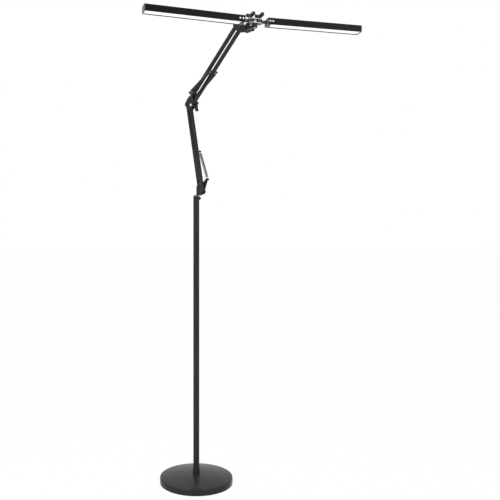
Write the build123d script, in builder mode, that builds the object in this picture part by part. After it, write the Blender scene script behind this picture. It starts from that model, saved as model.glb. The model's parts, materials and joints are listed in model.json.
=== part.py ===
from build123d import *
import os
from math import cos, pi, radians, sin, sqrt
import numpy as np

# Floor lamp with two folding light bars on a spring-balanced swing arm.
# The origin is the centre of the base on the floor, +Z is up, +X is the way the arm reaches
# forward and +Y runs along the arm's hinge pins. All sizes are in millimetres and degrees.

os.makedirs("parts", exist_ok=True)

# Fits
running_fit = 0.05  # radial clearance of a pin that turns in its hole
fixed_fit = 0.02  # radial clearance of a pin, plug or screw that is fixed in its hole
face_gap = 0.3  # clearance between faces that slide past each other
link_gap = 0.6  # clearance between an arm tube and the plate beside it

# Base
base_diameter = 264.0
base_height = 34.0  # of the dome, at the pole
base_rim_height = 22.0
base_rim_radius = 4.0
cover_wall = 1.5
cover_floor_gap = 1.0
pad_thickness = 2.0
pad_inset = 4.0
weight_thickness = 12.0
weight_hub_diameter = 70.0
base_bolt_diameter = 8.0
base_bolt_head_diameter = 13.0
base_bolt_head_height = 8.0

# Cord gland at the back of the base
gland_height = 8.5
gland_bore = 6.4
gland_body_diameter = 9.0
gland_flange_diameter = 12.0
gland_flange_length = 4.0
gland_lip_length = 1.5
weight_channel_length = 30.0

# Pole
pole_diameter = 22.0
pole_wall = 1.2
pole_top = 1040.0
foot_collar_wall = 2.0
foot_collar_lip = 0.8
foot_collar_height = 20.0
foot_insert_length = 32.0
coupler_length = 44.0
coupler_bore = 10.0
bush_flange_height = 4.0
bush_depth = 34.0
spigot_diameter = 10.0
spigot_length = 28.0

# Thumbscrew that clamps the swivel
clamp_screw_diameter = 4.0
clamp_screw_drop = 7.0
clamp_knob_diameter = 12.0
clamp_knob_length = 6.5
clamp_knob_grooves = 12
clamp_groove_diameter = 1.6

# Swing arm: two equal parallelogram links of square tube
tube_width = 10.0
tube_wall = 1.0
arm_length = 316.0
pivot_pitch = 24.0
pivot_line_angle = 135.0
lower_arm_angle = 101.2
upper_arm_angle = 42.8
plate_thickness = 2.0
plate_margin = 8.0
pivot_bolt_diameter = 5.0
bolt_head_height = 3.0
bolt_head_diameter = 9.0
nut_height = 4.0
nut_width = 8.0
bolt_end_length = 1.5
yoke_forward = 33.0
yoke_rise = 14.0
elbow_step = 25.2
elbow_step_angle = 48.9
tilt_step = 20.5
tilt_step_angle = -31.4

# Yoke bracket and its spigot
web_gap = 1.5
yoke_foot_radius = 2.0
yoke_foot_rear = 8.0
yoke_foot_front = 18.0
yoke_shoulder = (-11.0, 27.0)  # from the yoke's front pivot
yoke_shoulder_radius = 4.0
web_end_radius = 9.0
spigot_flange_diameter = 16.0
rivet_diameter = 8.0
rivet_head_diameter = 13.0
rivet_head_height = 2.5

# Springs and the pins that hold them
lower_ear_tip = (7.0, 45.0)  # from the yoke's front pivot
lower_ear_root = ((-11.0, 28.0), (4.5, 5.0))
upper_ear_tip = (-1.0, 32.5)  # from the elbow's upper front pivot
upper_ear_root = ((-12.5, 22.0), (2.0, 7.5))
ear_tip_radius = 4.5
ear_tip_side = 14.5
ear_hook_side = 19.0
peg_hook_side = 14.6
spring_pin_diameter = 5.0
spring_pin_head_diameter = 7.5
spring_pin_head_length = 1.5
hook_room = 2.2  # from a hook's wire axis to the pin's head
lower_peg_distance = 152.0
upper_peg_distance = 135.0
spring_wire = 1.6
spring_diameter = 10.8
spring_turns = 24
hook_gap = 0.5
hook_reach = 10.0

# Wing knobs and their bolts
knob_bolt_diameter = 6.0
knob_bolt_head_diameter = 10.0
knob_bore_depth = 10.0
knob_hub_diameter = 14.0
knob_hub_height = 14.0
knob_height = 20.0
wing_span = 36.0
wing_root_height = 3.5
wing_tip_height = 10.0
wing_notch_height = 14.0
wing_crest = 7.0
wing_thickness = 9.0
wing_corner_radius = 3.0
wing_edge_radius = 2.0

# Head: tilting knuckle, swivel and the yoke that holds both bars
tilt_eye_radius = 8.0
tilt_boss_radius = 9.0
head_plate_tail = 10.0  # how far the head plates run back along the upper tubes
head_reach = 42.0
bar_rise = 13.6
knuckle_thickness = 9.0
knuckle_boss_radius = 8.0
gusset_rise = 16.0  # of the knuckle's upright rib, over the tilt axis
gusset_slope = 6.5
gusset_corner_radius = 3.0
gusset_gap = 1.0
stud_diameter = 8.0
stud_head_diameter = 13.0
stud_head_height = 3.2
yoke_yaw = 29.5
hinge_spacing = 31.0
head_plate_width = 20.0
head_plate_gap = 11.2
head_spacer_diameter = 12.0
hinge_bolt_head_width = 9.0

# Light bars
left_bar_yaw = 27.2
right_bar_yaw = 31.6
bar_length = 337.0
bar_depth = 35.0
bar_height = 22.0
bar_corner_radius = 1.5
bar_wall = 2.6
bar_roof = 2.0
bar_start = 24.0  # from the hinge axis to the bar's inner end
cap_thickness = 2.5
cap_lip_length = 10.0  # ledge of the inner cap, under the bar's inner end
cap_lip_thickness = 4.0
diffuser_thickness = 3.0
diffuser_recess = 2.2
board_width = 26.0
board_thickness = 1.5
board_gap = 1.0
tongue_hub_diameter = 17.0
tongue_neck_width = 14.0
tongue_neck_thickness = 6.0
tongue_block_length = 28.0
tongue_block_height = 12.0
bar_screw_diameter = 3.0
bar_screw_head_diameter = 6.4
bar_screw_head_height = 1.2
bar_screw_grip = 8.0
bar_screw_starts = (8.0, 18.5)  # from the bar's inner end


def save(part, name):
    """Label a finished piece and write it."""
    part.label = name
    export_step(part, f"parts/{name}.step")


def moved(point, distance, angle):
    """A point of the swing plane, moved by a distance along an angle from +X towards +Z."""
    return (point[0] + distance * cos(radians(angle)), point[1] + distance * sin(radians(angle)))


def shifted(point, step):
    """A point of the swing plane, moved by a step of two lengths."""
    return (point[0] + step[0], point[1] + step[1])


def dome_level(radius):
    """Height of the cover's dome at a distance from the pole's axis."""
    return base_height - dome_radius + sqrt(dome_radius**2 - radius**2)


def side_plane(y):
    """Drawing plane parallel to the swing plane: x is X, y is Z and extrusions run towards -Y."""
    return Plane.XZ.offset(-y)


# Places that follow from the sizes
base_radius = base_diameter / 2
pole_radius = pole_diameter / 2
pole_bore_radius = pole_radius - pole_wall
pole_tube_top = pole_top - bush_flange_height
dome_rise = base_height - base_rim_height
dome_radius = (base_radius**2 + dome_rise**2) / (2 * dome_rise)
weight_radius = base_radius - cover_wall - face_gap

tube_half = tube_width / 2
plate_inside = tube_half + link_gap
plate_outside = plate_inside + plate_thickness
plate_middle = plate_inside + plate_thickness / 2
pivot_radius = pivot_bolt_diameter / 2
spring_pin_radius = spring_pin_diameter / 2
knob_bolt_radius = knob_bolt_diameter / 2

yoke_front = (yoke_forward, pole_top + yoke_rise)
yoke_rear = moved(yoke_front, pivot_pitch, pivot_line_angle)
elbow_low_front = moved(yoke_front, arm_length, lower_arm_angle)
elbow_low_rear = moved(yoke_rear, arm_length, lower_arm_angle)
elbow_high_front = moved(elbow_low_front, elbow_step, elbow_step_angle)
elbow_high_rear = moved(elbow_high_front, pivot_pitch, pivot_line_angle)
head_front = moved(elbow_high_front, arm_length, upper_arm_angle)
head_rear = moved(elbow_high_rear, arm_length, upper_arm_angle)
tilt_pivot = moved(head_front, tilt_step, tilt_step_angle)
clamp_pivot = moved(elbow_low_front, elbow_step / 2, elbow_step_angle)
lower_peg = moved(yoke_front, lower_peg_distance, lower_arm_angle)
upper_peg = moved(elbow_high_front, upper_peg_distance, upper_arm_angle)
lower_ear = shifted(yoke_front, lower_ear_tip)
upper_ear = shifted(elbow_high_front, upper_ear_tip)

head_x = tilt_pivot[0] + head_reach
bar_level = tilt_pivot[1] + bar_rise
head_plate_low = bar_level - head_plate_gap / 2 - plate_thickness
head_plate_high = bar_level + head_plate_gap / 2
head_plate_top = head_plate_high + plate_thickness

# Base pad
with BuildPart() as base_pad:
    with BuildSketch():
        Circle(weight_radius - pad_inset)
    extrude(amount=pad_thickness)
save(base_pad.part, "base_pad")

# Base weight: a disc with a hub, the bolt's counterbore and a channel for a cord
hub_top = dome_level(weight_hub_diameter / 2) - cover_wall - fixed_fit
with BuildPart() as base_weight:
    with BuildSketch(Plane.XY.offset(pad_thickness)):
        Circle(weight_radius)
    extrude(amount=weight_thickness)
    with BuildSketch(Plane.XY.offset(pad_thickness)):
        Circle(weight_hub_diameter / 2)
    extrude(amount=hub_top - pad_thickness)
    with BuildSketch(Plane.XY.offset(pad_thickness)):
        Circle(base_bolt_head_diameter / 2 + face_gap)
    extrude(amount=base_bolt_head_height, mode=Mode.SUBTRACT)
    Hole(base_bolt_diameter / 2 + face_gap)
    with BuildSketch(Plane.XY.offset(pad_thickness)):
        with Locations((-weight_radius, 0)):
            Rectangle(2 * weight_channel_length, gland_flange_diameter + 2 * face_gap)
    extrude(amount=weight_thickness, mode=Mode.SUBTRACT)
save(base_weight.part, "base_weight")

# Base cover: a shallow pressed dome, open underneath
gland_plane = Plane(origin=(-base_radius, 0, gland_height), x_dir=(0, 1, 0), z_dir=(-1, 0, 0))
with BuildPart() as base_cover:
    with BuildSketch(Plane.XZ) as cover_profile:
        with BuildLine():
            ThreePointArc(
                (0, base_height),
                (base_radius / 2, dome_level(base_radius / 2)),
                (base_radius, base_rim_height),
            )
            Polyline(
                (base_radius, base_rim_height),
                (base_radius, cover_floor_gap),
                (0, cover_floor_gap),
                (0, base_height),
            )
        make_face()
        fillet(cover_profile.vertices().group_by(Axis.X)[-1].sort_by(Axis.Y)[-1], base_rim_radius)
    revolve(axis=Axis.Z)
    offset(amount=-cover_wall, openings=base_cover.faces().sort_by(Axis.Z)[0])
    Hole(base_bolt_diameter / 2 + face_gap)
    with BuildSketch(gland_plane):
        Circle(gland_body_diameter / 2 + fixed_fit)
    extrude(amount=cover_wall * 2, both=True, mode=Mode.SUBTRACT)
save(base_cover.part, "base_cover")

# Cord gland: a flanged bush snapped into the cover's wall
gland_lip_start = cover_wall + face_gap
with BuildPart() as cord_gland:
    with BuildSketch(gland_plane.offset(face_gap)):
        Circle(gland_flange_diameter / 2)
    extrude(amount=gland_flange_length, taper=gland_flange_length)
    with BuildSketch(gland_plane.offset(-gland_lip_start)):
        Circle(gland_body_diameter / 2)
    extrude(amount=gland_lip_start + face_gap)
    with BuildSketch(gland_plane.offset(-gland_lip_start)):
        Circle(gland_flange_diameter / 2)
    extrude(amount=-gland_lip_length)
    with BuildSketch(gland_plane.offset(-gland_lip_start - gland_lip_length)):
        Circle(gland_bore / 2)
    extrude(amount=gland_lip_length + gland_lip_start + face_gap + gland_flange_length, mode=Mode.SUBTRACT)
save(cord_gland.part, "cord_gland")

# Base bolt: from the counterbore up into the pole's foot insert
bolt_head_top = pad_thickness + base_bolt_head_height
with BuildPart() as base_bolt:
    with BuildSketch(Plane.XY.offset(pad_thickness + face_gap)):
        Circle(base_bolt_head_diameter / 2)
    extrude(amount=base_bolt_head_height - face_gap)
    with BuildSketch(Plane.XY.offset(bolt_head_top)):
        Circle(base_bolt_diameter / 2)
    extrude(amount=base_height + foot_insert_length * 2 / 3 - bolt_head_top)
    with BuildSketch(Plane.XY.offset(pad_thickness + face_gap)):
        RegularPolygon(base_bolt_diameter / 2, 6)
    extrude(amount=base_bolt_head_height / 2, mode=Mode.SUBTRACT)
save(base_bolt.part, "base_bolt")

# Pole foot insert: the threaded plug in the pole's lower end
with BuildPart() as pole_foot_insert:
    with BuildSketch(Plane.XY.offset(base_height)):
        Circle(pole_bore_radius - fixed_fit)
        Circle(base_bolt_diameter / 2 + fixed_fit, mode=Mode.SUBTRACT)
    extrude(amount=foot_insert_length)
save(pole_foot_insert.part, "pole_foot_insert")

# Pole foot collar: a ring that narrows upwards
collar_bore_radius = pole_radius + fixed_fit
with BuildPart() as pole_foot_collar:
    with BuildSketch(Plane.XZ):
        with BuildLine():
            Polyline(
                (collar_bore_radius, base_height),
                (collar_bore_radius + foot_collar_wall, base_height),
                (collar_bore_radius + foot_collar_lip, base_height + foot_collar_height),
                (collar_bore_radius, base_height + foot_collar_height),
                close=True,
            )
        make_face()
    revolve(axis=Axis.Z)
save(pole_foot_collar.part, "pole_foot_collar")

# Pole tubes, stacked end to end
clamp_plane = Plane(origin=(0, 0, pole_top - clamp_screw_drop), x_dir=(1, 0, 0), z_dir=(0, 1, 0))
pole_names = ("pole_lower", "pole_middle", "pole_upper")
section_length = (pole_tube_top - base_height) / len(pole_names)
for index, name in enumerate(pole_names):
    with BuildPart() as pole_tube:
        with BuildSketch(Plane.XY.offset(base_height + index * section_length)):
            Circle(pole_radius)
            Circle(pole_bore_radius, mode=Mode.SUBTRACT)
        extrude(amount=section_length)
        if name == pole_names[-1]:
            with BuildSketch(clamp_plane):
                Circle(clamp_screw_diameter / 2 + face_gap)
            extrude(amount=pole_diameter, mode=Mode.SUBTRACT)
    save(pole_tube.part, name)

# Pole couplers: plugs inside the joints of the tubes
with BuildPart() as pole_couplers:
    for index in range(1, len(pole_names)):
        joint_height = base_height + index * section_length
        with BuildSketch(Plane.XY.offset(joint_height - coupler_length / 2)):
            Circle(pole_bore_radius - fixed_fit)
            Circle(coupler_bore / 2, mode=Mode.SUBTRACT)
        extrude(amount=coupler_length)
save(pole_couplers.part, "pole_couplers")

# Pole top bush: the bearing of the swivel
spigot_radius = spigot_diameter / 2
with BuildPart() as pole_top_bush:
    with BuildSketch(Plane.XY.offset(pole_tube_top)):
        Circle(pole_radius)
    extrude(amount=bush_flange_height)
    with BuildSketch(Plane.XY.offset(pole_tube_top)):
        Circle(pole_bore_radius - fixed_fit)
    extrude(amount=-bush_depth)
    with BuildSketch(Plane.XY.offset(pole_top)):
        Circle(spigot_radius + running_fit)
    extrude(amount=-(bush_flange_height + bush_depth), mode=Mode.SUBTRACT)
    with BuildSketch(clamp_plane):
        Circle(clamp_screw_diameter / 2 + running_fit)
    extrude(amount=pole_diameter, mode=Mode.SUBTRACT)
save(pole_top_bush.part, "pole_top_bush")

# Pole thumbscrew: a grooved knob on a short screw that stops just off the spigot
with BuildPart() as pole_thumbscrew:
    with BuildSketch(clamp_plane.offset(pole_radius + face_gap)):
        Circle(clamp_knob_diameter / 2)
        with PolarLocations(clamp_knob_diameter / 2, clamp_knob_grooves):
            Circle(clamp_groove_diameter / 2, mode=Mode.SUBTRACT)
    extrude(amount=clamp_knob_length)
    with BuildSketch(clamp_plane.offset(spigot_radius + face_gap)):
        Circle(clamp_screw_diameter / 2)
    extrude(amount=pole_radius - spigot_radius)
save(pole_thumbscrew.part, "pole_thumbscrew")

# Yoke bracket: a web on the swivel, two cheeks and two flared ears


def ear_plane(root, tip, side):
    """Plane of a flared ear: the origin and x lie along its root, y points at its tip."""
    rear = Vector(root[0][0], side * plate_middle, root[0][1])
    front = Vector(root[1][0], side * plate_middle, root[1][1])
    along = (front - rear).normalized()
    to_tip = Vector(tip[0], side * ear_tip_side, tip[1]) - rear
    return Plane(origin=rear, x_dir=along, z_dir=along.cross(to_tip))


def ear_edges(plane, root, tip, side):
    """The root line and the tip circle of an ear, in its own plane; their hull is its outline."""
    root_end = plane.to_local_coords(Vector(root[1][0], side * plate_middle, root[1][1]))
    tip_centre = plane.to_local_coords(Vector(tip[0], side * ear_tip_side, tip[1]))
    root_line = Edge.make_line((0, 0), (root_end.X, root_end.Y))
    tip_circle = Edge.make_circle(ear_tip_radius, Plane(origin=(tip_centre.X, tip_centre.Y, 0)))
    return [root_line, tip_circle]


web_low = pole_top + web_gap
web_high = web_low + plate_thickness
lower_root = [shifted(yoke_front, step) for step in lower_ear_root]
with BuildPart() as yoke_bracket:
    with BuildSketch(Plane.XY.offset(web_low)):
        Circle(web_end_radius)
        with Locations((yoke_foot_front - yoke_foot_radius, 0)):
            Rectangle(2 * yoke_foot_radius, 2 * plate_outside)
        make_hull()
    extrude(amount=plate_thickness)
    for outer_face in (plate_outside, -plate_inside):
        with BuildSketch(side_plane(outer_face)):
            with Locations(yoke_front, yoke_rear):
                Circle(plate_margin)
            with Locations(shifted(yoke_front, yoke_shoulder)):
                Circle(yoke_shoulder_radius)
            with Locations(
                (yoke_foot_rear + yoke_foot_radius, web_low + yoke_foot_radius),
                (yoke_foot_front - yoke_foot_radius, web_low + yoke_foot_radius),
            ):
                Circle(yoke_foot_radius)
            make_hull()
        extrude(amount=plate_thickness)
    for side in (-1, 1):
        lower_ear_plane = ear_plane(lower_root, lower_ear, side)
        with BuildSketch(lower_ear_plane):
            make_hull(ear_edges(lower_ear_plane, lower_root, lower_ear, side))
        extrude(amount=plate_thickness / 2, both=True)
    with BuildSketch(side_plane(0)):
        with Locations(yoke_front, yoke_rear):
            Circle(pivot_radius + running_fit)
        with Locations(lower_ear):
            Circle(spring_pin_radius + fixed_fit)
    extrude(amount=ear_hook_side, both=True, mode=Mode.SUBTRACT)
    with BuildSketch(Plane.XY.offset(web_low)):
        Circle(rivet_diameter / 2 + fixed_fit)
    extrude(amount=plate_thickness, mode=Mode.SUBTRACT)
save(yoke_bracket.part, "yoke_bracket")

# Yoke spigot: the swivel pin, riveted through the web
with BuildPart() as yoke_spigot:
    with BuildSketch(Plane.XY.offset(pole_top - spigot_length)):
        Circle(spigot_radius)
    extrude(amount=spigot_length + face_gap)
    with BuildSketch(Plane.XY.offset(pole_top + face_gap)):
        Circle(spigot_flange_diameter / 2)
    extrude(amount=web_gap - face_gap)
    with BuildSketch(Plane.XY.offset(web_low)):
        Circle(rivet_diameter / 2)
    extrude(amount=plate_thickness)
    with BuildSketch(Plane.XY.offset(web_high)):
        Circle(rivet_head_diameter / 2)
    extrude(amount=rivet_head_height)
    fillet(yoke_spigot.edges().group_by(Axis.Z)[-1], rivet_head_height * 0.6)
save(yoke_spigot.part, "yoke_spigot")

# Pivot bolts and nuts of the yoke, the elbow and the head bracket
pivot_sets = (
    ("yoke", (yoke_front, yoke_rear)),
    ("elbow", (elbow_low_front, elbow_low_rear, elbow_high_front, elbow_high_rear)),
    ("head", (head_front, head_rear)),
)
for set_name, pivots in pivot_sets:
    with BuildPart() as pivot_bolts:
        with BuildSketch(side_plane(plate_outside + nut_height + bolt_end_length)):
            with Locations(*pivots):
                Circle(pivot_radius)
        extrude(amount=2 * plate_outside + nut_height + bolt_end_length)
        with BuildSketch(side_plane(-plate_outside)):
            with Locations(*pivots):
                Circle(bolt_head_diameter / 2)
        extrude(amount=bolt_head_height)
        fillet(pivot_bolts.edges().group_by(Axis.Y)[0], bolt_head_height * 0.6)
    save(pivot_bolts.part, f"{set_name}_pivot_bolts")

    with BuildPart() as pivot_nuts:
        with BuildSketch(side_plane(plate_outside + nut_height)):
            with Locations(*pivots):
                RegularPolygon(nut_width / 2, 6, major_radius=False)
                Circle(pivot_radius + fixed_fit, mode=Mode.SUBTRACT)
        extrude(amount=nut_height)
    save(pivot_nuts.part, f"{set_name}_pivot_nuts")

# Stub pins on the ears
ear_pin_start = ear_tip_side - plate_thickness
ear_pin_end = ear_hook_side + hook_room + spring_pin_head_length
for set_name, ear in (("yoke", lower_ear), ("elbow", upper_ear)):
    with BuildPart() as spring_pins:
        for start, end, head in ((ear_pin_start, ear_pin_end, 1), (-ear_pin_start, -ear_pin_end, -1)):
            with BuildSketch(side_plane(start)):
                with Locations(ear):
                    Circle(spring_pin_radius)
            extrude(amount=start - end)
            with BuildSketch(side_plane(end)):
                with Locations(ear):
                    Circle(spring_pin_head_diameter / 2)
            extrude(amount=head * spring_pin_head_length)
    save(spring_pins.part, f"{set_name}_spring_pins")

# Arm tubes: square tubes with rounded ends, bored for their pivots and the spring peg
tube_sets = (
    ("lower_front_tube", yoke_front, lower_arm_angle, lower_peg_distance),
    ("lower_rear_tube", yoke_rear, lower_arm_angle, None),
    ("upper_front_tube", elbow_high_front, upper_arm_angle, upper_peg_distance),
    ("upper_rear_tube", elbow_high_rear, upper_arm_angle, None),
)
for name, start, angle, peg_distance in tube_sets:
    along_tube = (cos(radians(angle)), 0, sin(radians(angle)))
    tube_plane = Plane(origin=(start[0], 0, start[1]), x_dir=along_tube, z_dir=(0, -1, 0))
    with BuildPart() as arm_tube:
        with BuildSketch(tube_plane):
            with Locations((arm_length / 2, 0)):
                SlotCenterToCenter(arm_length, tube_width)
        extrude(amount=tube_half, both=True)
        with BuildSketch(tube_plane):
            with Locations((arm_length / 2, 0)):
                Rectangle(arm_length + 2 * tube_width, tube_width - 2 * tube_wall)
        extrude(amount=tube_half - tube_wall, both=True, mode=Mode.SUBTRACT)
        with BuildSketch(tube_plane):
            with Locations((0, 0), (arm_length, 0)):
                Circle(pivot_radius + running_fit)
            if peg_distance:
                with Locations((peg_distance, 0)):
                    Circle(spring_pin_radius + fixed_fit)
        extrude(amount=tube_width, both=True, mode=Mode.SUBTRACT)
    save(arm_tube.part, name)

# Cross pegs in the front tubes, headed at both ends
peg_half = peg_hook_side + hook_room + spring_pin_head_length
for name, peg in (("lower_spring_peg", lower_peg), ("upper_spring_peg", upper_peg)):
    with BuildPart() as spring_peg:
        with BuildSketch(side_plane(0)):
            with Locations(peg):
                Circle(spring_pin_radius)
        extrude(amount=peg_half, both=True)
        for head_face in (peg_half, spring_pin_head_length - peg_half):
            with BuildSketch(side_plane(head_face)):
                with Locations(peg):
                    Circle(spring_pin_head_diameter / 2)
            extrude(amount=spring_pin_head_length)
    save(spring_peg.part, name)

# Extension springs: one wire each, hooked over a pin at both ends


def biarc(start, start_way, end, end_way):
    """Two tangent arcs from start to end, leaving and arriving along the given unit vectors."""
    chord = end - start
    ways = start_way + end_way
    bend = 2 * (1 - start_way.dot(end_way))
    reach = (sqrt(chord.dot(ways) ** 2 + bend * chord.dot(chord)) - chord.dot(ways)) / bend
    first_corner = start + start_way * reach
    last_corner = end - end_way * reach
    middle = (first_corner + last_corner) * 0.5
    TangentArc(start, middle, tangent=start_way)
    TangentArc(middle, end, tangent=(last_corner - first_corner).normalized())


def spring_wire_path(low, high):
    """Hook, helix and hook: half circles over both pins, joined to half-turn biarcs of the helix."""
    axis = (high - low).normalized()
    out = axis.cross(Vector(0, 1, 0)).normalized()
    around = axis.cross(out)
    radius = (spring_diameter - spring_wire) / 2
    hook_radius = spring_pin_radius + hook_gap + spring_wire / 2
    pitch = ((high - low).length - 2 * hook_reach) / spring_turns

    def coil_point(turn):
        angle = 2 * pi * turn
        rim = out * cos(angle) + around * sin(angle)
        return low + axis * (hook_reach + pitch * turn) + rim * radius

    def coil_way(turn):
        angle = 2 * pi * turn
        rim_way = around * cos(angle) - out * sin(angle)
        return (rim_way * (2 * pi * radius) + axis * pitch).normalized()

    low_near = low + out * hook_radius
    low_far = low - out * hook_radius
    high_near = high + out * hook_radius
    high_far = high - out * hook_radius
    Line(low_far + axis * spring_wire, low_far)
    ThreePointArc(low_far, low - axis * hook_radius, low_near)
    biarc(low_near, axis, coil_point(0), coil_way(0))
    for half in range(2 * spring_turns):
        biarc(coil_point(half / 2), coil_way(half / 2), coil_point((half + 1) / 2), coil_way((half + 1) / 2))
    biarc(coil_point(spring_turns), coil_way(spring_turns), high_near, axis)
    ThreePointArc(high_near, high + axis * hook_radius, high_far)
    Line(high_far, high_far - axis * spring_wire)


def least_self_gap(path):
    """Least clear distance between stretches of one wire that lie more than six wires apart along it."""
    samples_per_wire = 2
    count = int(path.length / spring_wire * samples_per_wire)
    points = np.array([tuple(path.position_at(i / count)) for i in range(count + 1)])
    distance = np.linalg.norm(points[:, None, :] - points[None, :, :], axis=2)
    apart = np.abs(np.subtract.outer(np.arange(count + 1), np.arange(count + 1)))
    return distance[apart > 6 * samples_per_wire].min() - spring_wire


for arm, ear, peg in (("lower", lower_ear, lower_peg), ("upper", upper_ear, upper_peg)):
    for place, side in (("near", -1), ("far", 1)):
        low_hook = Vector(ear[0], side * ear_hook_side, ear[1])
        high_hook = Vector(peg[0], side * peg_hook_side, peg[1])
        with BuildPart() as spring:
            with BuildLine() as wire_path:
                spring_wire_path(low_hook, high_hook)
            with BuildSketch(Plane(origin=wire_path.wire() @ 0, z_dir=wire_path.wire() % 0)):
                Circle(spring_wire / 2)
            sweep()
        save(spring.part, f"{arm}_spring_{place}")
        print(f"{arm}_spring_{place}: least gap to itself {least_self_gap(wire_path.wire()):.2f} mm")

# Elbow plates, each with a flared ear for its upper spring
upper_root = [shifted(elbow_high_front, step) for step in upper_ear_root]
for name, side, outer_face in (
    ("elbow_plate_near", -1, -plate_inside),
    ("elbow_plate_far", 1, plate_outside),
):
    with BuildPart() as elbow_plate:
        with BuildSketch(side_plane(outer_face)):
            with Locations(elbow_low_front, elbow_low_rear, elbow_high_front, elbow_high_rear):
                Circle(plate_margin)
            make_hull()
        extrude(amount=plate_thickness)
        upper_ear_plane = ear_plane(upper_root, upper_ear, side)
        with BuildSketch(upper_ear_plane):
            make_hull(ear_edges(upper_ear_plane, upper_root, upper_ear, side))
        extrude(amount=plate_thickness / 2, both=True)
        with BuildSketch(side_plane(0)):
            with Locations(elbow_low_front, elbow_low_rear, elbow_high_front, elbow_high_rear):
                Circle(pivot_radius + running_fit)
            with Locations(clamp_pivot):
                Circle(knob_bolt_radius + fixed_fit)
            with Locations(upper_ear):
                Circle(spring_pin_radius + fixed_fit)
        extrude(amount=ear_hook_side, both=True, mode=Mode.SUBTRACT)
    save(elbow_plate.part, name)

# Head plates: two pivots of the upper link and the tilt pivot
head_plate_tails = [moved(pivot, -head_plate_tail, upper_arm_angle) for pivot in (head_front, head_rear)]
for name, outer_face in (("head_plate_near", -plate_inside), ("head_plate_far", plate_outside)):
    with BuildPart() as head_plate:
        with BuildSketch(side_plane(outer_face)):
            with Locations(head_front, head_rear, *head_plate_tails):
                Circle(plate_margin)
            with Locations(tilt_pivot):
                Circle(tilt_boss_radius)
            make_hull()
        extrude(amount=plate_thickness)
        with BuildSketch(side_plane(0)):
            with Locations(head_front, head_rear):
                Circle(pivot_radius + running_fit)
            with Locations(tilt_pivot):
                Circle(knob_bolt_radius + fixed_fit)
        extrude(amount=ear_hook_side, both=True, mode=Mode.SUBTRACT)
    save(head_plate.part, name)

# Clamp bolt of the elbow and tilt bolt of the head, each with its thread in a wing knob
knob_bolt_tip = plate_outside + face_gap + knob_bore_depth - face_gap
for name, pivot in (("elbow_clamp_bolt", clamp_pivot), ("tilt_bolt", tilt_pivot)):
    with BuildPart() as knob_bolt:
        with BuildSketch(side_plane(knob_bolt_tip)):
            with Locations(pivot):
                Circle(knob_bolt_radius)
        extrude(amount=knob_bolt_tip + plate_outside)
        with BuildSketch(side_plane(-plate_outside)):
            with Locations(pivot):
                Circle(knob_bolt_head_diameter / 2)
        extrude(amount=bolt_head_height)
        fillet(knob_bolt.edges().group_by(Axis.Y)[0], bolt_head_height * 0.6)
    save(knob_bolt.part, name)

# Wing knobs


def wing_knob(seat):
    """Moulded wing knob: its axis is the seat plane's normal and its wings run along the plane's x."""
    wing_plane = Plane(origin=seat.origin, x_dir=seat.x_dir, z_dir=-seat.y_dir)
    tip = wing_span / 2
    with BuildPart() as knob:
        with BuildSketch(wing_plane) as wings:
            with BuildLine():
                Polyline(
                    (0, wing_root_height),
                    (tip, wing_tip_height),
                    (tip, knob_height),
                    (tip - wing_crest, knob_height),
                    (0, wing_notch_height),
                    (wing_crest - tip, knob_height),
                    (-tip, knob_height),
                    (-tip, wing_tip_height),
                    close=True,
                )
            make_face()
            fillet(wings.vertices(), wing_corner_radius)
        extrude(amount=wing_thickness / 2, both=True)
        fillet(knob.faces().filter_by(wing_plane).edges(), wing_edge_radius)
        with BuildSketch(seat):
            Circle(knob_hub_diameter / 2)
        extrude(amount=knob_hub_height)
        with BuildSketch(seat):
            Circle(knob_bolt_radius + running_fit)
        extrude(amount=knob_bore_depth, mode=Mode.SUBTRACT)
    return knob.part


knob_seat = plate_outside + face_gap
elbow_seat = Plane(origin=(clamp_pivot[0], knob_seat, clamp_pivot[1]), x_dir=(0, 0, 1), z_dir=(0, 1, 0))
save(wing_knob(elbow_seat), "elbow_wing_knob")
tilt_seat = Plane(origin=(tilt_pivot[0], knob_seat, tilt_pivot[1]), x_dir=(1, 0, 0), z_dir=(0, 1, 0))
save(wing_knob(tilt_seat), "tilt_wing_knob")

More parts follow.
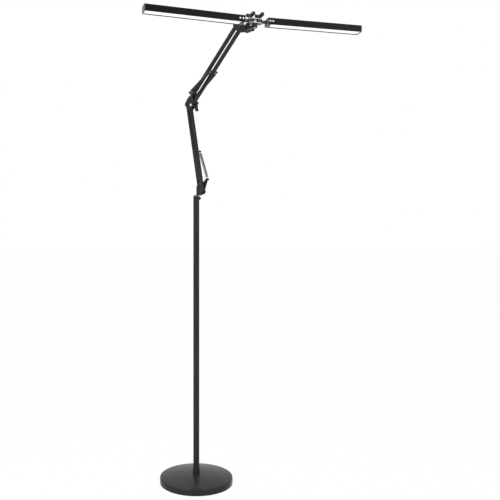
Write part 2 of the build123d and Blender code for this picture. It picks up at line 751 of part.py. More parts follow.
# Head knuckle: an eye between the head plates, an upright rib, an arm and the boss under the head yoke
hinge_bolt_head_low = head_plate_low - bolt_head_height
arm_top = min(hinge_bolt_head_low, bar_level - bar_height / 2) - face_gap
arm_low = arm_top - knuckle_thickness
eye_half = plate_inside - face_gap
arm_wide_start = tilt_pivot[0] + tilt_boss_radius + 2 * face_gap
gusset_end = head_x - hinge_spacing / 2 - head_plate_width / 2 - gusset_gap
gusset_top = tilt_pivot[1] + gusset_rise
with BuildPart() as head_knuckle:
    with BuildSketch(Plane.XY.offset(arm_low)):
        with Locations(((tilt_pivot[0] + arm_wide_start) / 2, 0)):
            Rectangle(arm_wide_start - tilt_pivot[0], 2 * eye_half)
        with BuildLine():
            Polyline(
                (arm_wide_start, -eye_half),
                (head_x, -knuckle_boss_radius),
                (head_x, knuckle_boss_radius),
                (arm_wide_start, eye_half),
                close=True,
            )
        make_face()
    extrude(amount=knuckle_thickness)
    with BuildSketch(Plane.XY.offset(arm_low)):
        with Locations((head_x, 0)):
            Circle(knuckle_boss_radius)
    extrude(amount=head_plate_low - face_gap - arm_low)
    with BuildSketch(side_plane(0)):
        with Locations(tilt_pivot):
            Circle(tilt_eye_radius)
    extrude(amount=eye_half, both=True)
    with BuildSketch(side_plane(0)) as gusset:
        with BuildLine():
            Polyline(
                (tilt_pivot[0], arm_low),
                (tilt_pivot[0], tilt_pivot[1] + tilt_eye_radius / 2),
                (tilt_pivot[0] + gusset_slope, gusset_top),
                (gusset_end, gusset_top),
                (gusset_end, arm_low),
                close=True,
            )
        make_face()
        fillet(gusset.vertices().group_by(Axis.Z)[-1], gusset_corner_radius)
    extrude(amount=eye_half, both=True)
    with BuildSketch(side_plane(0)):
        with Locations(tilt_pivot):
            Circle(knob_bolt_radius + running_fit)
    extrude(amount=2 * eye_half, both=True, mode=Mode.SUBTRACT)
    with BuildSketch(Plane.XY.offset(arm_low)):
        with Locations((head_x, 0)):
            Circle(stud_diameter / 2 + fixed_fit)
    extrude(amount=head_plate_low - arm_low, mode=Mode.SUBTRACT)
save(head_knuckle.part, "head_knuckle")

# Swivel stud: fixed in the knuckle, headed over the upper head plate
stud_head_low = head_plate_top + face_gap
with BuildPart() as swivel_stud:
    with BuildSketch(Plane.XY.offset(arm_low)):
        with Locations((head_x, 0)):
            Circle(stud_diameter / 2)
    extrude(amount=stud_head_low - arm_low)
    with BuildSketch(Plane.XY.offset(stud_head_low)):
        with Locations((head_x, 0)):
            Circle(stud_head_diameter / 2)
    extrude(amount=stud_head_height)
    fillet(swivel_stud.edges().group_by(Axis.Z)[-1], stud_head_height * 0.6)
save(swivel_stud.part, "swivel_stud")

# Head yoke plates: bored for the swivel in the middle and for a hinge bolt at each end
yoke_way = Vector(sin(radians(yoke_yaw)), cos(radians(yoke_yaw)), 0)
head_axis = Vector(head_x, 0, 0)
hinge_half = hinge_spacing / 2
for name, level in (("head_yoke_lower", head_plate_low), ("head_yoke_upper", head_plate_high)):
    plate_plane = Plane(origin=head_axis + Vector(0, 0, level), x_dir=yoke_way, z_dir=(0, 0, 1))
    with BuildPart() as head_yoke_plate:
        with BuildSketch(plate_plane):
            SlotCenterToCenter(hinge_spacing, head_plate_width)
        extrude(amount=plate_thickness)
        if level == head_plate_low:
            with BuildSketch(plate_plane):
                Circle(head_spacer_diameter / 2)
            extrude(amount=plate_thickness + head_plate_gap)
        with BuildSketch(plate_plane):
            Circle(stud_diameter / 2 + running_fit)
            with Locations((-hinge_half, 0), (hinge_half, 0)):
                Circle(knob_bolt_radius + fixed_fit)
        extrude(amount=2 * head_plate_gap, mode=Mode.SUBTRACT)
    save(head_yoke_plate.part, name)

# Hinge bolts: from below the lower plate up into the wing knobs
hinge_points = [head_axis - yoke_way * hinge_half, head_axis + yoke_way * hinge_half]
hinge_places = [(point.X, point.Y) for point in hinge_points]
hinge_knob_seat = head_plate_top + face_gap
with BuildPart() as hinge_bolts:
    with BuildSketch(Plane.XY.offset(hinge_bolt_head_low)):
        with Locations(*hinge_places):
            RegularPolygon(hinge_bolt_head_width / 2, 6, major_radius=False)
    extrude(amount=bolt_head_height)
    with BuildSketch(Plane.XY.offset(head_plate_low)):
        with Locations(*hinge_places):
            Circle(knob_bolt_radius)
    extrude(amount=hinge_knob_seat + knob_bore_depth - face_gap - head_plate_low)
save(hinge_bolts.part, "hinge_bolts")

# Light bars, left and right
housing_length = bar_length - 2 * cap_thickness
cavity_width = bar_depth - 2 * bar_wall
cavity_height = bar_height - bar_roof
roof_level = bar_height / 2 - bar_roof
bottom_level = -bar_height / 2
inner_end = bar_start + cap_thickness
tongue_hub_height = head_plate_gap - 2 * face_gap
block_level = roof_level - tongue_block_height
for index, (bar_name, side, yaw) in enumerate((("left", -1, left_bar_yaw), ("right", 1, right_bar_yaw))):
    outward = Vector(sin(radians(yaw)), cos(radians(yaw)), 0) * side
    hinge = hinge_points[index] + Vector(0, 0, bar_level)
    bar_plane = Plane(origin=hinge, x_dir=outward, z_dir=(0, 0, 1))
    section = Plane(origin=hinge, x_dir=bar_plane.y_dir, z_dir=outward)
    front_way = bar_plane.y_dir * -side
    front_face = Plane(origin=hinge + front_way * (bar_depth / 2), x_dir=outward, z_dir=front_way)
    screw_places = [(bar_start + start, 0) for start in bar_screw_starts]

    # Housing: an extruded channel, open underneath
    with BuildPart() as housing:
        with BuildSketch(section.offset(inner_end)):
            RectangleRounded(bar_depth, bar_height, bar_corner_radius)
            with Locations((0, bottom_level)):
                Rectangle(cavity_width, cavity_height, align=(Align.CENTER, Align.MIN), mode=Mode.SUBTRACT)
        extrude(amount=housing_length)
        with BuildSketch(front_face):
            with Locations(*screw_places):
                Circle(bar_screw_diameter / 2 + fixed_fit)
        extrude(amount=bar_wall * 2, both=True, mode=Mode.SUBTRACT)
    save(housing.part, f"{bar_name}_bar_housing")

    # End caps: a plain one outside, one inside with a slot for the tongue and a ledge under the bar
    with BuildPart() as end_caps:
        for cap_start in (bar_start, bar_start + bar_length - cap_thickness):
            with BuildSketch(section.offset(cap_start)):
                RectangleRounded(bar_depth, bar_height, bar_corner_radius)
                if cap_start == bar_start:
                    Rectangle(
                        tongue_neck_width + 2 * fixed_fit,
                        tongue_neck_thickness + 2 * fixed_fit,
                        mode=Mode.SUBTRACT,
                    )
            extrude(amount=cap_thickness)
        with BuildSketch(section.offset(inner_end)):
            with Locations((0, bottom_level)):
                Rectangle(cavity_width - 2 * fixed_fit, cap_lip_thickness, align=(Align.CENTER, Align.MIN))
        extrude(amount=cap_lip_length)
    save(end_caps.part, f"{bar_name}_bar_end_caps")

    # Diffuser: an opal strip pressed between the housing's walls
    with BuildPart() as diffuser:
        with BuildSketch(section.offset(inner_end + cap_lip_length + fixed_fit)):
            with Locations((0, bottom_level + diffuser_recess)):
                Rectangle(cavity_width - 2 * fixed_fit, diffuser_thickness, align=(Align.CENTER, Align.MIN))
        extrude(amount=housing_length - cap_lip_length - 2 * fixed_fit)
    save(diffuser.part, f"{bar_name}_bar_diffuser")

    # LED board: a strip under the roof, clear of the tongue's block
    board_start = inner_end + tongue_block_length + board_gap
    with BuildPart() as led_board:
        with BuildSketch(section.offset(board_start)):
            with Locations((0, roof_level)):
                Rectangle(board_width, board_thickness, align=(Align.CENTER, Align.MAX))
        extrude(amount=inner_end + housing_length - board_gap - board_start)
    save(led_board.part, f"{bar_name}_bar_led_board")

    # Tongue: a hub on the hinge bolt, a flat neck and the block that the housing is screwed to
    with BuildPart() as tongue:
        with BuildSketch(bar_plane.offset(-tongue_hub_height / 2)):
            Circle(tongue_hub_diameter / 2)
        extrude(amount=tongue_hub_height)
        with BuildSketch(section):
            Rectangle(tongue_neck_width, tongue_neck_thickness)
        extrude(amount=inner_end)
        with BuildSketch(section.offset(inner_end)):
            with Locations((0, block_level)):
                Rectangle(
                    cavity_width - 2 * fixed_fit, tongue_block_height, align=(Align.CENTER, Align.MIN)
                )
        extrude(amount=tongue_block_length)
        with BuildSketch(bar_plane.offset(-tongue_hub_height)):
            Circle(knob_bolt_radius + running_fit)
        extrude(amount=2 * tongue_hub_height, mode=Mode.SUBTRACT)
        with BuildSketch(front_face):
            with Locations(*screw_places):
                Circle(bar_screw_diameter / 2 + fixed_fit)
        extrude(amount=-(bar_wall + bar_screw_grip + face_gap), mode=Mode.SUBTRACT)
    save(tongue.part, f"{bar_name}_bar_tongue")

    # Screws: two from the front face into the tongue's block
    with BuildPart() as bar_screws:
        with BuildSketch(front_face):
            with Locations(*screw_places):
                Circle(bar_screw_head_diameter / 2)
        extrude(amount=bar_screw_head_height)
        with BuildSketch(front_face):
            with Locations(*screw_places):
                Circle(bar_screw_diameter / 2)
        extrude(amount=-(bar_wall + bar_screw_grip))
    save(bar_screws.part, f"{bar_name}_bar_screws")

    # Wing knob above the hinge
    hinge_seat = Plane(
        origin=hinge_points[index] + Vector(0, 0, hinge_knob_seat), x_dir=(1, 0, 0), z_dir=(0, 0, 1)
    )
    save(wing_knob(hinge_seat), f"{bar_name}_wing_knob")
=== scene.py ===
# %% [markdown]
# This lesson dresses a black floor lamp: a round weighted base, a slim pole, a swing arm that is
# balanced by springs, and a head with folding light bars. Its solid pieces come from a CAD pack and
# stay where they are. Here they get their finishes, and the springs and the bars' screws get finer
# forms.

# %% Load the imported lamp
import json
import math

import bpy
import numpy as np
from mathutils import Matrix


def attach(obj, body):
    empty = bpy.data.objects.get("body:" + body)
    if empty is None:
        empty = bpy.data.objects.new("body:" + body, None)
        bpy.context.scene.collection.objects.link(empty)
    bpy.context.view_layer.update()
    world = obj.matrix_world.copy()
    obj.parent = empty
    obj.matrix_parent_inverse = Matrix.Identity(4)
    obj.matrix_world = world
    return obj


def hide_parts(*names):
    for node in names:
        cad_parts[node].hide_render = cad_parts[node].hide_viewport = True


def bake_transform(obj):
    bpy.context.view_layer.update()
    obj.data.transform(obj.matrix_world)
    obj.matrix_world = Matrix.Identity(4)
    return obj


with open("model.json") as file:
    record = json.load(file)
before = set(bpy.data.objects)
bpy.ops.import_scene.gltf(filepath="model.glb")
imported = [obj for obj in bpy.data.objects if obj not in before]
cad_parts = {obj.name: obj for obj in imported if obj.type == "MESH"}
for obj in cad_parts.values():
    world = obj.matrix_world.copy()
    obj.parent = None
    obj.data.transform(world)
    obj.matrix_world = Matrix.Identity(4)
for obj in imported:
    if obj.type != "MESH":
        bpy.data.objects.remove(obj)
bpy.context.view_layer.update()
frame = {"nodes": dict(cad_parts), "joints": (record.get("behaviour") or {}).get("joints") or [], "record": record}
nodes = frame["nodes"]

# %% [markdown]
# The camera stands level, about as high as the middle of the lamp, and looks straight ahead. That
# keeps the pole upright in the picture. A small lens shift then moves the lamp to the left of the
# frame, which is easier to control than turning the camera.

# %% Camera
camera_distance = 2.220
camera_height = 0.851
camera_heading = math.radians(44.0)
picture_width = 500.0
focal_pixels = 610.0
axis_column, horizon_row = 196.3, 248.0
film_width = 36.0
view_reach = 100.0

camera_data = bpy.data.cameras.new("studio_camera")
camera_data.sensor_width = film_width
camera_data.lens = focal_pixels / picture_width * film_width
camera_data.shift_x = (picture_width / 2 - axis_column) / picture_width
camera_data.shift_y = (horizon_row - picture_width / 2) / picture_width
camera_data.clip_end = view_reach
camera = bpy.data.objects.new("studio_camera", camera_data)
camera.location = (
    camera_distance * math.cos(camera_heading),
    -camera_distance * math.sin(camera_heading),
    camera_height,
)
camera.rotation_euler = (math.pi / 2, 0.0, math.pi / 2 - camera_heading)
bpy.context.scene.collection.objects.link(camera)
bpy.context.scene.camera = camera
print("lens", round(camera_data.lens, 2), "mm, shift", round(camera_data.shift_x, 4))

# %% [markdown]
# A shader network is easier to read when each node is made in one line. These small helpers make a
# node with its settings, a node group with named sockets, and the links between them.

# %% Shader helpers


def add_node(tree, kind, inputs=None, **settings):
    """One shader node, with its settings and its unlinked inputs filled in."""
    made = tree.nodes.new("ShaderNode" + kind)
    for name, value in settings.items():
        setattr(made, name, value)
    for name, value in (inputs or {}).items():
        made.inputs[name].default_value = value
    return made


def join(tree, *pairs):
    """Link each pair of an output socket and an input socket."""
    for output, target in pairs:
        tree.links.new(output, target)


def new_group(name, inputs, outputs):
    """A node group with named sockets: the tree, its input node and its output node."""
    tree = bpy.data.node_groups.new(name, "ShaderNodeTree")
    for label, kind in inputs:
        tree.interface.new_socket(label, in_out="INPUT", socket_type=kind)
    for label in outputs:
        tree.interface.new_socket(label, in_out="OUTPUT", socket_type="NodeSocketFloat")
    return tree, tree.nodes.new("NodeGroupInput"), tree.nodes.new("NodeGroupOutput")


print("shader helpers:", add_node.__name__, join.__name__, new_group.__name__)

# %% [markdown]
# The lamp stands in a white studio. The world is white where the camera, a glossy surface or a
# clear one looks at it, and softer as a light. The floor is white too. Nearly all of what the
# camera sees of it is plain white, and the rest is lit paint, so that a faint shadow stays under
# the base.

# %% White world
plain_white = (1, 1, 1, 1)
ambient_strength = 0.62
bpy.context.scene.view_settings.view_transform = "Standard"
world = bpy.data.worlds.new("white_studio")
bpy.context.scene.world = world
world.use_nodes = True
sky = world.node_tree
sky.nodes.clear()
sky_path = add_node(sky, "LightPath")
sky_seen = add_node(sky, "Math", operation="MAXIMUM")
sky_seen_through = add_node(sky, "Math", operation="MAXIMUM")
sky_light = add_node(sky, "Background", {"Color": plain_white, "Strength": ambient_strength})
sky_white = add_node(sky, "Background", {"Color": plain_white, "Strength": 1.0})
sky_mix = add_node(sky, "MixShader")
sky_out = add_node(sky, "OutputWorld")
join(
    sky,
    (sky_path.outputs["Is Camera Ray"], sky_seen.inputs[0]),
    (sky_path.outputs["Is Glossy Ray"], sky_seen.inputs[1]),
    (sky_seen.outputs[0], sky_seen_through.inputs[0]),
    (sky_path.outputs["Is Transmission Ray"], sky_seen_through.inputs[1]),
    (sky_seen_through.outputs[0], sky_mix.inputs[0]),
    (sky_light.outputs[0], sky_mix.inputs[1]),
    (sky_white.outputs[0], sky_mix.inputs[2]),
    (sky_mix.outputs[0], sky_out.inputs["Surface"]),
)
print("world made, ambient", ambient_strength)

# %% White floor
floor_reach = 90.0
floor_white_share = 0.96
floor_grey = (0.94, 0.94, 0.94, 1)
corner_signs = ((-1, -1), (1, -1), (1, 1), (-1, 1))
floor_corners = [(x * floor_reach, y * floor_reach, 0.0) for x, y in corner_signs]
floor_mesh = bpy.data.meshes.new("studio_floor")
floor_mesh.from_pydata(floor_corners, [], [(0, 1, 2, 3)])
floor = bpy.data.objects.new("studio_floor", floor_mesh)
bpy.context.scene.collection.objects.link(floor)

floor_paint = bpy.data.materials.new("studio_floor_paint")
floor_paint.use_nodes = True
paint = floor_paint.node_tree
paint.nodes.clear()
paint_path = add_node(paint, "LightPath")
paint_seen = add_node(paint, "Math", operation="MAXIMUM")
paint_share = add_node(paint, "Math", {1: floor_white_share}, operation="MULTIPLY")
paint_lit = add_node(paint, "BsdfDiffuse", {"Color": floor_grey})
paint_white = add_node(paint, "Emission", {"Color": plain_white, "Strength": 1.0})
paint_mix = add_node(paint, "MixShader")
paint_out = add_node(paint, "OutputMaterial")
join(
    paint,
    (paint_path.outputs["Is Camera Ray"], paint_seen.inputs[0]),
    (paint_path.outputs["Is Glossy Ray"], paint_seen.inputs[1]),
    (paint_seen.outputs[0], paint_share.inputs[0]),
    (paint_share.outputs[0], paint_mix.inputs[0]),
    (paint_lit.outputs[0], paint_mix.inputs[1]),
    (paint_white.outputs[0], paint_mix.inputs[2]),
    (paint_mix.outputs[0], paint_out.inputs["Surface"]),
)
floor_mesh.materials.append(floor_paint)
print("floor", 2 * floor_reach, "m wide, plain white share", floor_white_share)

# %% [markdown]
# Black things are hard to light, because they show little more than reflections. Three large soft
# boxes give wide, quiet ones. The key box stands in front, a weaker one stands at the side, and the
# third hangs overhead, where it brightens the far half of the base. Point lamps would be simpler,
# but they would leave small hard sparks on the round pole.

# %% Soft boxes
aim_point = np.array((0.0, 0.0, 0.95))
# Each row has a name, a place, a width in metres and a power in watts.
soft_boxes = (
    ("key_box", (0.3, -3.5, 2.6), 2.2, 62.0),
    ("side_box", (3.6, 0.4, 2.2), 2.0, 34.0),
    ("top_box", (-0.5, 0.5, 4.4), 2.0, 34.0),
)
for box_name, place, size, watts in soft_boxes:
    box_data = bpy.data.lights.new(box_name, "AREA")
    box_data.size = size
    box_data.energy = watts
    box = bpy.data.objects.new(box_name, box_data)
    aim = aim_point - np.array(place)
    flat = math.hypot(aim[0], aim[1])
    box.location = place
    box.rotation_euler = (math.atan2(flat, -aim[2]), 0.0, math.atan2(-aim[0], aim[1]))
    bpy.context.scene.collection.objects.link(box)
    print(box_name, watts, "W")

# %% [markdown]
# No finish on the lamp is one flat colour. Powder coat has a fine orange-peel grain, handled metal
# has cloudy smudges, and drawn wire and extrusions have long thin lines. Each of these is one node
# group that reads a position on the piece, so every finish can use it at its own scale.

# %% Grain of a coat or a moulding
position_and_scale = (("Position", "NodeSocketVector"), ("Scale", "NodeSocketFloat"))
specks_per_peel = 4.3
grain_group, grain_in, grain_out = new_group("coat_grain", position_and_scale, ("Height", "Speck"))
peel = add_node(grain_group, "TexNoise", {"Detail": 2.0, "Roughness": 0.45})
speck_scale = add_node(grain_group, "Math", {1: specks_per_peel}, operation="MULTIPLY")
speck = add_node(grain_group, "TexNoise", {"Detail": 1.0, "Roughness": 0.5})
join(
    grain_group,
    (grain_in.outputs["Position"], peel.inputs["Vector"]),
    (grain_in.outputs["Scale"], peel.inputs["Scale"]),
    (grain_in.outputs["Scale"], speck_scale.inputs[0]),
    (grain_in.outputs["Position"], speck.inputs["Vector"]),
    (speck_scale.outputs[0], speck.inputs["Scale"]),
    (peel.outputs["Fac"], grain_out.inputs["Height"]),
    (speck.outputs["Fac"], grain_out.inputs["Speck"]),
)
print(grain_group.name, "has", len(grain_group.nodes), "nodes")

# %% Cloudy smudges of a handled surface
smudge_group, smudge_in, smudge_out = new_group("handling_smudge", position_and_scale, ("Mask",))
cloud = add_node(smudge_group, "TexNoise", {"Detail": 5.0, "Roughness": 0.6, "Distortion": 0.4})
cloud_range = add_node(smudge_group, "MapRange", {"From Min": 0.36, "From Max": 0.68})
join(
    smudge_group,
    (smudge_in.outputs["Position"], cloud.inputs["Vector"]),
    (smudge_in.outputs["Scale"], cloud.inputs["Scale"]),
    (cloud.outputs["Fac"], cloud_range.inputs["Value"]),
    (cloud_range.outputs["Result"], smudge_out.inputs["Mask"]),
)
print(smudge_group.name, "has", len(smudge_group.nodes), "nodes")

# %% Lines of a drawn or brushed surface
line_stretch = (0.02, 1.0, 1.0)
line_group, line_in, line_out = new_group("drawn_lines", position_and_scale, ("Height", "Mask"))
stretch = add_node(line_group, "VectorMath", {1: line_stretch}, operation="MULTIPLY")
line_noise = add_node(line_group, "TexNoise", {"Detail": 4.0, "Roughness": 0.7})
line_range = add_node(line_group, "MapRange", {"From Min": 0.3, "From Max": 0.7})
join(
    line_group,
    (line_in.outputs["Position"], stretch.inputs[0]),
    (stretch.outputs[0], line_noise.inputs["Vector"]),
    (line_in.outputs["Scale"], line_noise.inputs["Scale"]),
    (line_noise.outputs["Fac"], line_out.inputs["Height"]),
    (line_noise.outputs["Fac"], line_range.inputs["Value"]),
    (line_range.outputs["Result"], line_out.inputs["Mask"]),
)
print("finish groups:", [group.name for group in bpy.data.node_groups])

# %% [markdown]
# Every finish is the same network with its own numbers: a ramp of two close colours, a roughness
# that drifts with the smudges, and a bump from the grain or the lines. Numbers that are the same
# all over, such as the gloss level, sit on the shader itself.

# %% One function for all the finishes
pattern_share, smudge_share = 0.65, 0.35
ramp_start, ramp_end = 0.2, 0.8
bump_distance = 0.0004


def make_finish(
    name, dark, light, rough, scale, relief,
    lined=False, turn=(0, 0, 0), smudge_scale=9.0, **plain,
):
    """Ramp from dark to light over the pattern's mask plus a share of the smudges.

    The roughness goes from its low to its high value with the smudges, and the bump follows the
    pattern's height. Plain values go on the shader's own sockets.
    """
    made = bpy.data.materials.new(name)
    made.use_nodes = True
    tree = made.node_tree
    shader = tree.nodes["Principled BSDF"]
    place = add_node(tree, "TexCoord")
    turned = add_node(tree, "Mapping", {"Rotation": turn})
    pattern = add_node(tree, "Group", node_tree=line_group if lined else grain_group)
    pattern.inputs["Scale"].default_value = scale
    smudge = add_node(tree, "Group", node_tree=smudge_group)
    smudge.inputs["Scale"].default_value = smudge_scale
    blend = add_node(tree, "Math", {1: pattern_share}, operation="MULTIPLY")
    tone = add_node(tree, "Math", {1: smudge_share}, operation="MULTIPLY_ADD")
    ramp = add_node(tree, "ValToRGB")
    ramp.color_ramp.elements[0].position = ramp_start
    ramp.color_ramp.elements[1].position = ramp_end
    ramp.color_ramp.elements[0].color = (*dark, 1)
    ramp.color_ramp.elements[1].color = (*light, 1)
    rough_range = add_node(tree, "MapRange", {"To Min": rough[0], "To Max": rough[1]})
    bump = add_node(tree, "Bump", {"Strength": relief, "Distance": bump_distance})
    for socket, value in plain.items():
        shader.inputs[socket.replace("_", " ")].default_value = value
    mask = pattern.outputs["Mask" if lined else "Speck"]
    join(
        tree,
        (place.outputs["Object"], turned.inputs["Vector"]),
        (turned.outputs["Vector"], pattern.inputs["Position"]),
        (place.outputs["Object"], smudge.inputs["Position"]),
        (mask, blend.inputs[0]),
        (smudge.outputs["Mask"], tone.inputs[0]),
        (blend.outputs[0], tone.inputs[2]),
        (tone.outputs[0], ramp.inputs["Fac"]),
        (ramp.outputs["Color"], shader.inputs["Base Color"]),
        (smudge.outputs["Mask"], rough_range.inputs["Value"]),
        (rough_range.outputs["Result"], shader.inputs["Roughness"]),
        (pattern.outputs["Height"], bump.inputs["Height"]),
        (bump.outputs["Normal"], shader.inputs["Normal"]),
    )
    return made


print("each tone is", pattern_share, "pattern and", smudge_share, "smudge")

# %% [markdown]
# Four blacks show on the lamp. The stand, the arm and its plates have a satin powder coat. The
# moulded knobs are darker and duller, the bolts, pins and tongues are blackened steel, and the
# anodised bars are the deepest black. The light bars run in their own directions, so each one has
# its own finish, with the extrusion lines turned to lie along it. Their end caps are dark grey.

# %% Black coats and plastics
bar_yaw = {"left": math.radians(27.2), "right": math.radians(31.6)}
finishes = {}
finishes["black_paint"] = make_finish(
    "satin_powder_coat", (0.016, 0.016, 0.0162), (0.034, 0.034, 0.0344), (0.2, 0.3),
    scale=620.0, relief=0.12, Specular_IOR_Level=0.1,
)
finishes["black_plastic"] = make_finish(
    "moulded_black_plastic", (0.007, 0.007, 0.0075), (0.014, 0.014, 0.0145), (0.4, 0.54),
    scale=1100.0, relief=0.18, Specular_IOR_Level=0.34,
)
finishes["grey_plastic"] = make_finish(
    "moulded_grey_caps", (0.075, 0.075, 0.077), (0.11, 0.11, 0.112), (0.4, 0.52),
    scale=1100.0, relief=0.16, Specular_IOR_Level=0.3,
)
finishes["black_steel"] = make_finish(
    "blackened_steel", (0.022, 0.022, 0.024), (0.05, 0.05, 0.053), (0.3, 0.46),
    scale=900.0, relief=0.12, Metallic=0.5,
)
for bar_name, yaw in bar_yaw.items():
    finishes[f"{bar_name}_black_aluminium"] = make_finish(
        f"{bar_name}_bar_anodising", (0.003, 0.003, 0.0033), (0.0065, 0.0065, 0.0069), (0.34, 0.44),
        scale=900.0, relief=0.1, lined=True, turn=(0, 0, yaw - math.pi / 2), Specular_IOR_Level=0.1,
    )
print("black finishes:", len(finishes))

# %% [markdown]
# The metals differ mostly in brightness and in how large their smudges are. The nickel fittings of
# the head and the zinc screws are small, so their smudges are fine. The spring wire is almost
# black, and the hidden weight in the base is rough cast iron.

# %% Metals
finishes["nickel"] = make_finish(
    "bright_nickel_plate", (0.27, 0.266, 0.258), (0.4, 0.395, 0.384), (0.2, 0.32),
    scale=500.0, relief=0.05, smudge_scale=40.0, Metallic=1.0,
)
finishes["zinc_steel"] = make_finish(
    "zinc_plated_steel", (0.56, 0.565, 0.575), (0.72, 0.72, 0.725), (0.26, 0.4),
    scale=1500.0, relief=0.08, lined=True, smudge_scale=60.0, Metallic=1.0,
)
finishes["spring_steel"] = make_finish(
    "blackened_spring_wire", (0.035, 0.035, 0.037), (0.075, 0.075, 0.078), (0.28, 0.42),
    scale=1800.0, relief=0.08, smudge_scale=70.0, Metallic=0.9,
)
finishes["iron"] = make_finish(
    "sand_cast_iron", (0.035, 0.034, 0.033), (0.085, 0.082, 0.078), (0.6, 0.8),
    scale=380.0, relief=0.7, Metallic=0.5,
)
print("black and metal finishes:", len(finishes))

# %% Foot pad, light strip and opal cover
finishes["foot_pad"] = make_finish(
    "foam_rubber", (0.012, 0.012, 0.012), (0.03, 0.03, 0.03), (0.85, 0.97),
    scale=420.0, relief=0.8, Specular_IOR_Level=0.2,
)
finishes["led_strip"] = make_finish(
    "light_strip_mask", (0.72, 0.72, 0.7), (0.82, 0.82, 0.8), (0.3, 0.42),
    scale=700.0, relief=0.05,
)
# The opal cover's faint emission is painted light: it brightens the bars' underside as light bounced up from the
# floor would.
finishes["opal"] = make_finish(
    "opal_diffuser", (0.84, 0.84, 0.835), (0.9, 0.9, 0.895), (0.38, 0.5),
    scale=800.0, relief=0.06, Emission_Color=(1.0, 0.99, 0.97, 1.0), Emission_Strength=0.32,
)
print("all finishes:", sorted(finishes))

# %% [markdown]
# The record names a material slot for every CAD node. Going through that list makes sure that no
# node keeps its plain import colour. Only the bars' aluminium needs the node's name as well, to
# choose between the left and the right finish.

# %% Dress the CAD nodes
for subpart in frame["record"]["subparts"]:
    node_name, slot_name = subpart["node"], subpart["material_slot"]
    if slot_name == "black_aluminium":
        slot_name = node_name.split("_")[0] + "_black_aluminium"
    node_mesh = nodes[node_name].data
    node_mesh.materials.clear()
    node_mesh.materials.append(finishes[slot_name])

# %% [markdown]
# The springs balance the arm. Each is one wire: a hook over a pin, a close helix and another hook.
# A curve with a round bevel could draw it, but a swept surface gives full control of the wire's
# frame. At every place on the wire one direction is known that lies across it: the helix's own
# radius, or the radius of the hook. That direction and the wire's tangent give a frame that never
# twists or flips.

# %% Wire of one spring
wire_radius = 0.0008
coil_radius = 0.0046
hook_radius = 0.0038
hook_reach = 0.0074
tail_length = 0.375 * hook_reach
steps_per_turn = 30
tail_steps, arch_steps, join_steps = 6, 16, 14
hook_steps = (tail_steps - 1) + arch_steps + (join_steps - 2)
print("a hook has", hook_steps, "points before the coil starts")


def hermite(start, start_way, end, end_way, count):
    """Cubic from start to end: smooth shares of both, plus the ways, which set the end slopes."""
    t = np.linspace(0.0, 1.0, count)[:, None]
    rise, fall = 3 * t**2 - 2 * t**3, 2 * t**3 - 3 * t**2 + 1
    leaving, arriving = t**3 - 2 * t**2 + t, t**3 - t**2
    return fall * start + leaving * start_way + rise * end + arriving * end_way


def spring_path(low, high, coil_turns):
    """Centre line of the wire, and a direction across it at each point.

    The helix is a height along the axis plus the coil radius times the turning rim direction. A
    half circle of the hook radius goes over each pin, a cubic joins it to the helix, and a short
    straight tail ends it.
    """
    axis = (high - low) / np.linalg.norm(high - low)
    out = np.cross(axis, (0.0, 1.0, 0.0))
    out /= np.linalg.norm(out)
    around = np.cross(axis, out)
    coil_length = np.linalg.norm(high - low) - 2 * hook_reach

    def half_circle(centre, end_way):
        angle = np.linspace(math.pi, 0.0, arch_steps)[:, None]
        across = out * np.cos(angle) + end_way * np.sin(angle)
        return centre + hook_radius * across, across

    low_hook, low_across = half_circle(low, -axis)
    high_hook, high_across = half_circle(high, axis)
    angle = np.linspace(0.0, 2 * math.pi * coil_turns, coil_turns * steps_per_turn + 1)[:, None]
    rim = out * np.cos(angle) + around * np.sin(angle)
    helix = low + axis * (hook_reach + coil_length * angle / angle[-1]) + coil_radius * rim
    way, turn_way = axis * hook_reach, around * hook_reach
    into = hermite(low_hook[-1], way, helix[0], turn_way, join_steps)[1:-1]
    leave = hermite(helix[-1], turn_way, high_hook[-1], way, join_steps)[1:-1]
    tail_low = low_hook[0] + axis * np.linspace(tail_length, 0.0, tail_steps)[:-1, None]
    tail_high = high_hook[0] - axis * np.linspace(0.0, tail_length, tail_steps)[1:, None]
    line = np.concatenate((tail_low, low_hook, into, helix, leave, high_hook[::-1], tail_high))
    across = np.concatenate(
        (
            np.repeat(-out[None], len(tail_low), 0),
            low_across,
            np.repeat(out[None], len(into), 0),
            rim,
            np.repeat(out[None], len(leave), 0),
            high_across[::-1],
            np.repeat(-out[None], len(tail_high), 0),
        )
    )
    return line, across


# %% [markdown]
# The wire's surface is a circle carried along that line. The tangent comes from the whole line, and
# only then are the wanted rows picked out, so two pieces that are cut from one wire meet exactly.

# %% Sweep the round wire


def swept_wire(line, across, radius, rows, around_count=10):
    """Tube round the chosen rows: line plus radius times (side cos a + third sin a).

    Side is the across direction with the tangent's share taken out, and third is at right angles
    to both. Flat faces close the two ends.
    """
    way = np.gradient(line, axis=0)
    way /= np.linalg.norm(way, axis=1, keepdims=True)
    side = across - way * np.sum(across * way, axis=1, keepdims=True)
    side /= np.linalg.norm(side, axis=1, keepdims=True)
    third = np.cross(way, side)
    line, side, third = line[rows], side[rows], third[rows]
    angle = np.linspace(0.0, 2 * math.pi, around_count, endpoint=False)[None, :, None]
    ring = side[:, None] * np.cos(angle) + third[:, None] * np.sin(angle)
    points = (line[:, None] + radius * ring).reshape(-1, 3)
    row = np.arange(len(line) - 1)[:, None] * around_count
    here = np.arange(around_count)[None]
    after = (here + 1) % around_count
    above = row + around_count
    quads = np.stack((row + here, row + after, above + after, above + here), -1)
    first_end = list(range(around_count))[::-1]
    last_end = list(range(len(points) - around_count, len(points)))
    return points, quads.reshape(-1, 4).tolist() + [first_end, last_end]


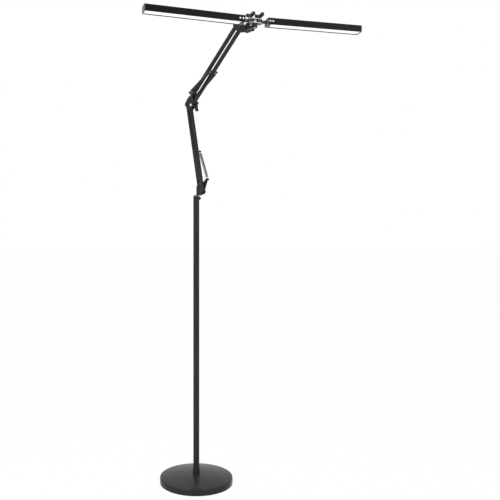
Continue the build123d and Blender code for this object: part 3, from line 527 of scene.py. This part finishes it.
def new_piece(name, points, faces, finish):
    """Mesh object at the origin, smooth shaded, with one finish."""
    mesh = bpy.data.meshes.new(name)
    mesh.from_pydata(points.tolist(), [], faces)
    mesh.polygons.foreach_set("use_smooth", np.ones(len(mesh.polygons), bool))
    mesh.materials.append(finish)
    piece = bpy.data.objects.new(name, mesh)
    bpy.context.scene.collection.objects.link(piece)
    return piece


print("the wire is", 2 * wire_radius, "m thick")

# %% [markdown]
# A spring hangs between an ear that stays still and a peg on a link that swings. Each spring is cut in two, a hook
# and a coil, which share the wire's row at the cut, so the two pieces stay joined. Shares of the link's turn are
# worked out for the ends of each piece, but nothing here uses them, and both pieces stay fixed where they are
# made.

# %% Four springs
joint_places = {joint["name"]: np.array(joint["pos_m"]) for joint in frame["joints"]}
ear_side, peg_side = 0.019, 0.0146
# Each row has the arm, the joint at its foot, the ear's step from that joint, the peg's distance
# from it, the link's angle at rest, the number of turns, and the still and the moving body.
spring_sets = (
    ("lower", "lower_arm", (0.007, 0.045), 0.152, 101.2, 27, "arm_yoke", "lower_front_link"),
    ("upper", "upper_arm", (-0.001, 0.0325), 0.135, 42.8, 52, "elbow", "upper_front_link"),
)
for arm, pivot_joint, ear_step, peg_distance, link_angle, turns, still, moving in spring_sets:
    pivot = joint_places[pivot_joint][[0, 2]]
    ear = pivot + ear_step
    tilt = math.radians(link_angle)
    peg = pivot + peg_distance * np.array((math.cos(tilt), math.sin(tilt)))
    for place_name, side in (("near", -1), ("far", 1)):
        low = np.array((ear[0], side * ear_side, ear[1]))
        high = np.array((peg[0], side * peg_side, peg[1]))
        line, across = spring_path(low, high, turns)
        run = high - low
        hook_share = hook_reach / np.linalg.norm(run)
        pin_share = hook_radius / np.linalg.norm(run)
        cuts = (
            ("hook", slice(0, hook_steps + 1), pin_share, 2 * hook_share - pin_share),
            ("coil", slice(hook_steps, len(line)), 2 * hook_share - 1, 1.0),
        )
        for cut_name, rows, turn_start, turn_end in cuts:
            points, faces = swept_wire(line, across, wire_radius, rows)
            piece_name = f"{arm}_{place_name}_{cut_name}"
            piece = new_piece(piece_name, points, faces, finishes["spring_steel"])
            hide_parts(f"{arm}_spring_{place_name}")
            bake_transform(piece)
            print(piece.name, len(faces), "faces")

# %% [markdown]
# Two small screws hold each light bar on its hinge tongue. The CAD screw is a plain disc on a
# shank. A real head is a low dome with a crossed recess for the driver. Cutting the recess with a
# boolean would leave messy faces, so the head is one height surface over a disc: the dome falls
# towards the rim, and a soft mask of two crossed slots pushes it down in the middle.

# %% Screw head as a height over a disc
screw_radius = 0.0032
screw_height = 0.0014
screw_recess = 0.0009
dome_fall = 0.45
slot_half_width, slot_half_length, slot_softness = 0.2, 0.62, 0.09


def soft_step(value):
    """Smooth rise from 0 to 1 while the value t goes from 0 to 1: t squared times (3 - 2 t)."""
    t = np.clip(value, 0.0, 1.0)
    return t * t * (3 - 2 * t)


def slot_mask(across, along):
    """Soft band across one axis, ended along the other, in shares of the head's radius."""
    width_mask = soft_step((slot_half_width - np.abs(across)) / slot_softness)
    return width_mask * soft_step((slot_half_length - np.abs(along)) / slot_softness)


def screw_head(rings=22, spokes=56):
    """Dome of height h(1 - fall r^4) less the larger of two crossed slots, closed underneath."""
    share = np.linspace(0.0, 1.0, rings + 1)[1:, None]
    angle = np.linspace(0.0, 2 * math.pi, spokes, endpoint=False)[None]
    x, y = share * np.cos(angle), share * np.sin(angle)
    recess = np.maximum(slot_mask(x, y), slot_mask(y, x))
    z = screw_height * (1 - dome_fall * share**4) - screw_recess * recess
    rim = np.stack((x[-1] * screw_radius, y[-1] * screw_radius, np.zeros(spokes)), -1)
    top = np.stack((x * screw_radius, y * screw_radius, z), -1).reshape(-1, 3)
    centre = np.array([[0.0, 0.0, screw_height - screw_recess]])
    points = np.concatenate((centre, top, rim))
    here = np.arange(spokes)[None]
    after = (here + 1) % spokes
    row = 1 + np.arange(rings)[:, None] * spokes
    outer = row + spokes
    quads = np.stack((row + here, outer + here, outer + after, row + after), -1).reshape(-1, 4)
    fan = np.stack((np.zeros(spokes, int), 1 + here[0], 1 + after[0]), -1)
    underside = list(range(len(points) - spokes, len(points)))[::-1]
    return points, quads.tolist() + fan.tolist() + [underside]


head_points, head_faces = screw_head()
print("a screw head has", len(head_faces), "faces")

# %% Screws on both bars
bar_half_depth = 0.0175
screw_starts = (0.032, 0.0425)
first_turn = math.radians(20.0)
screw_turns = (first_turn, first_turn + 1)
for bar_name, side in (("left", -1), ("right", 1)):
    yaw = bar_yaw[bar_name]
    outward = side * np.array((math.sin(yaw), math.cos(yaw), 0.0))
    forward = np.array((math.cos(yaw), -math.sin(yaw), 0.0))
    upward = np.cross(forward, outward)
    all_points, all_faces = [], []
    for index, (start, turn) in enumerate(zip(screw_starts, screw_turns)):
        place = joint_places[f"{bar_name}_fold"] + outward * start + forward * bar_half_depth
        c, s = math.cos(turn), math.sin(turn)
        axes = np.stack((outward * c + upward * s, upward * c - outward * s, forward))
        all_points.append(place + head_points @ axes)
        offset = index * len(head_points)
        all_faces += [[corner + offset for corner in face] for face in head_faces]
    piece_name = f"{bar_name}_screw_heads"
    screws = new_piece(piece_name, np.concatenate(all_points), all_faces, finishes["zinc_steel"])
    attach(screws, f"{bar_name}_bar")
    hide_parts(f"{bar_name}_bar_screws")
    print(screws.name, len(all_faces), "faces")
